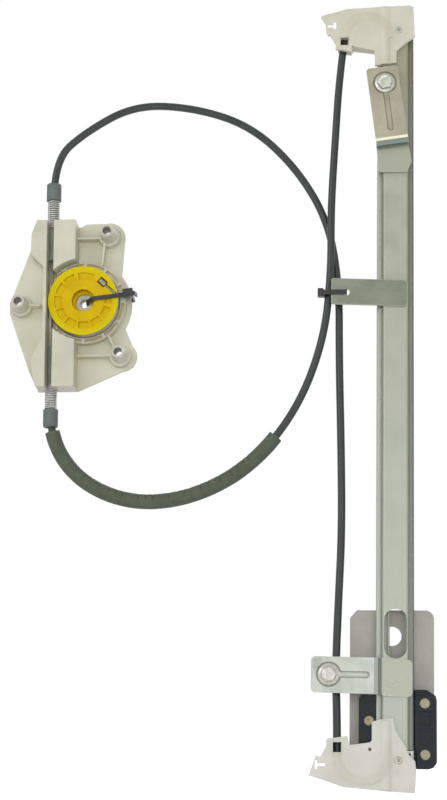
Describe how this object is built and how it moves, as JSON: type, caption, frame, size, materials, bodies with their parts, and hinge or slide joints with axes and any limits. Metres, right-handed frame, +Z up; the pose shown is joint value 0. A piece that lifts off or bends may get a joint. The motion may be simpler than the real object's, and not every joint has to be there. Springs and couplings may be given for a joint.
{
  "type": "window regulator",
  "caption": "Car window regulator: steel guide rail with a lifting carrier, bowden conduits and a drum housing that a motor bolts to.",
  "frame": {"origin": "on the front face of the upper bracket, where the door's inner panel seats, 6 mm right of and 14 mm below the upper bolt", "axes": "+Z up along the guide rail, +X to the right as seen from the cabin side, +Y away from the cabin side toward the door's outer skin"},
  "size_m": [0.3036, 0.0307, 0.5575],
  "materials": {
    "galvanised_sheet": "satin zinc-coated sheet",
    "bracket_zinc": "satin zinc plate",
    "guide_plastic": "natural acetal, off-white",
    "drum_plastic": "yellow acetal",
    "conduit_sheath": "black semi-gloss sheath",
    "foam": "grey-green foam sleeve",
    "cap_plastic": "mid grey plastic",
    "stem_plastic": "dark grey plastic",
    "black_nylon": "black nylon",
    "cable_steel": "stranded steel",
    "spring_steel": "bright spring wire",
    "carrier_steel": "satin grey coat",
    "slider_plastic": "blue-black acetal",
    "fastener_zinc": "pale yellow zinc",
    "rivet_steel": "nickel-bright",
    "bushing_steel": "turned steel"
  },
  "bodies": {
    "rail_assembly": {"guide_rail": "galvanised_sheet", "upper_bracket": "bracket_zinc", "middle_bracket": "bracket_zinc", "lower_bracket": "bracket_zinc", "mounting_bolts": "fastener_zinc", "weld_nuts": "fastener_zinc", "top_cable_guide": "guide_plastic", "bottom_cable_guide": "guide_plastic", "guide_rivets": "rivet_steel", "drum_housing": "guide_plastic", "motor_bushings": "bushing_steel", "upper_spring": "spring_steel", "lower_spring": "spring_steel", "lower_conduit": "conduit_sheath", "upper_conduit": "conduit_sheath", "foam_sleeve": "foam", "upper_rail_cable": "cable_steel", "lower_rail_cable": "cable_steel", "upper_drum_cable": "cable_steel", "lower_drum_cable": "cable_steel", "middle_tie": "black_nylon", "drum_tie": "black_nylon"},
    "carrier": {"carrier_plate": "carrier_steel", "slider": "slider_plastic", "carrier_rivets": "rivet_steel", "carrier_cable_ends": "rivet_steel"},
    "drum": {"cable_drum": "drum_plastic", "drum_winding": "cable_steel", "drum_cable_end": "rivet_steel"},
    "upper_adjuster": {"upper_stem": "stem_plastic", "upper_cap": "cap_plastic"},
    "lower_adjuster": {"lower_stem": "stem_plastic", "lower_cap": "cap_plastic"}
  },
  "joints": [
    {"name": "carrier_slide", "type": "slide", "parent": "rail_assembly", "child": "carrier", "axis": [0, 0, 1], "range_m": [0, 0.44]},
    {"name": "drum_spin", "type": "hinge", "parent": "rail_assembly", "child": "drum", "pos_m": [-0.2187, 0.011, -0.1464], "axis": [0, 1, 0], "range_deg": [0, 1087]},
    {"name": "upper_adjuster_slide", "type": "slide", "parent": "rail_assembly", "child": "upper_adjuster", "axis": [0.0192, 0, -0.9998], "range_m": [0, 0.005], "stiffness_N_per_m": 3000, "springref_m": -0.004, "deforming": ["upper_spring"]},
    {"name": "lower_adjuster_slide", "type": "slide", "parent": "rail_assembly", "child": "lower_adjuster", "axis": [-0.0192, 0, 0.9998], "range_m": [0, 0.005], "stiffness_N_per_m": 3000, "springref_m": -0.004, "deforming": ["lower_spring"]}
  ],
  "couplings": [
    {"joint": "drum_spin", "follows": "carrier_slide", "rad_per_m": 43.103}
  ]
}
